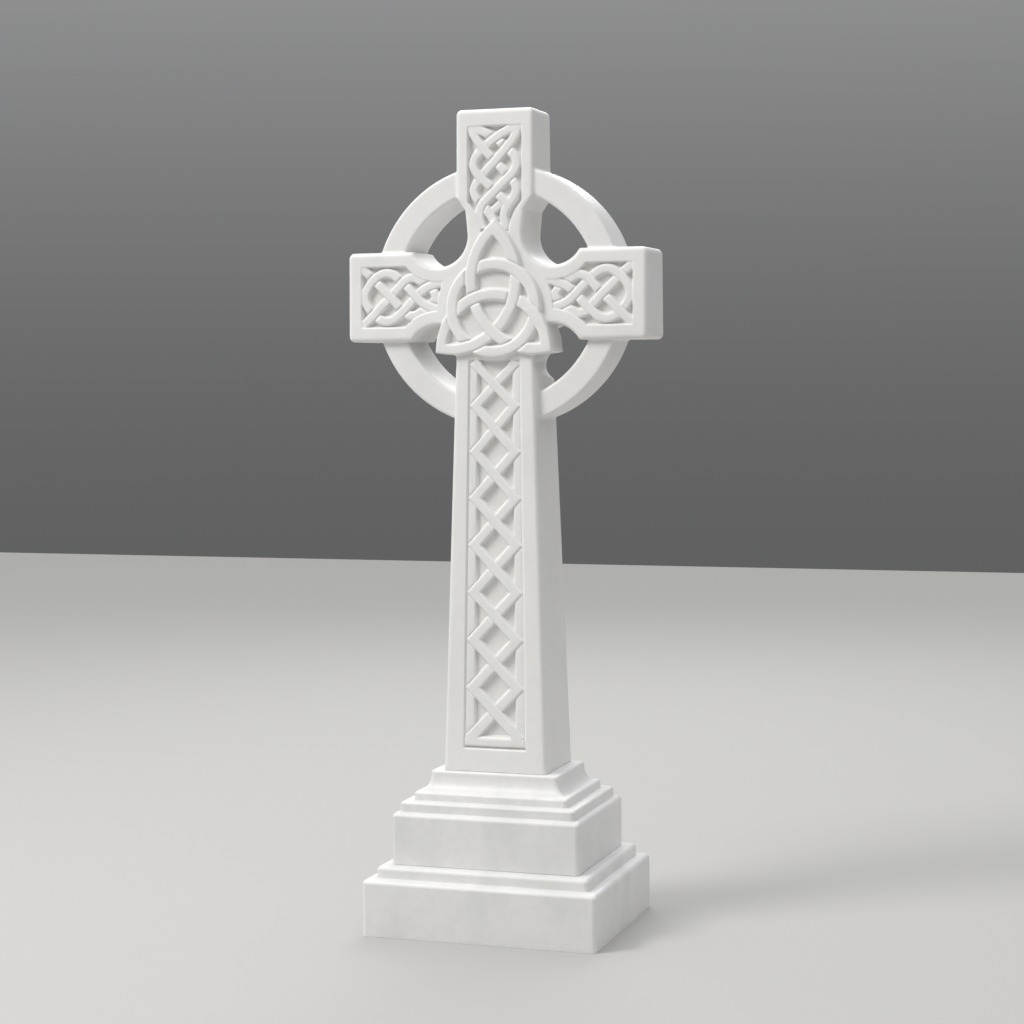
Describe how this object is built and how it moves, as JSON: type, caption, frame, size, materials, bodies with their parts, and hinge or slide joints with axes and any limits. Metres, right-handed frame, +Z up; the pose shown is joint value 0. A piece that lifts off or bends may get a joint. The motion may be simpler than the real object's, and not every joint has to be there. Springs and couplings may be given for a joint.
{
  "type": "celtic cross gravestone",
  "caption": "Carved stone memorial: a ringed cross with knotwork on its front and a tapered shaft, standing on a moulded two-stone plinth.",
  "frame": {"origin": "middle of the underside of the lower plinth", "axes": "+Z up along the shaft, carved front towards -Y, arms along X"},
  "size_m": [0.457, 0.3, 1.2001],
  "materials": {
    "plinth_marble": "honed white marble",
    "cross_marble": "honed white marble, softly rounded arrises"
  },
  "bodies": {
    "root": {"lower_plinth": "plinth_marble", "upper_plinth": "plinth_marble", "cross": "cross_marble"}
  },
  "joints": []
}
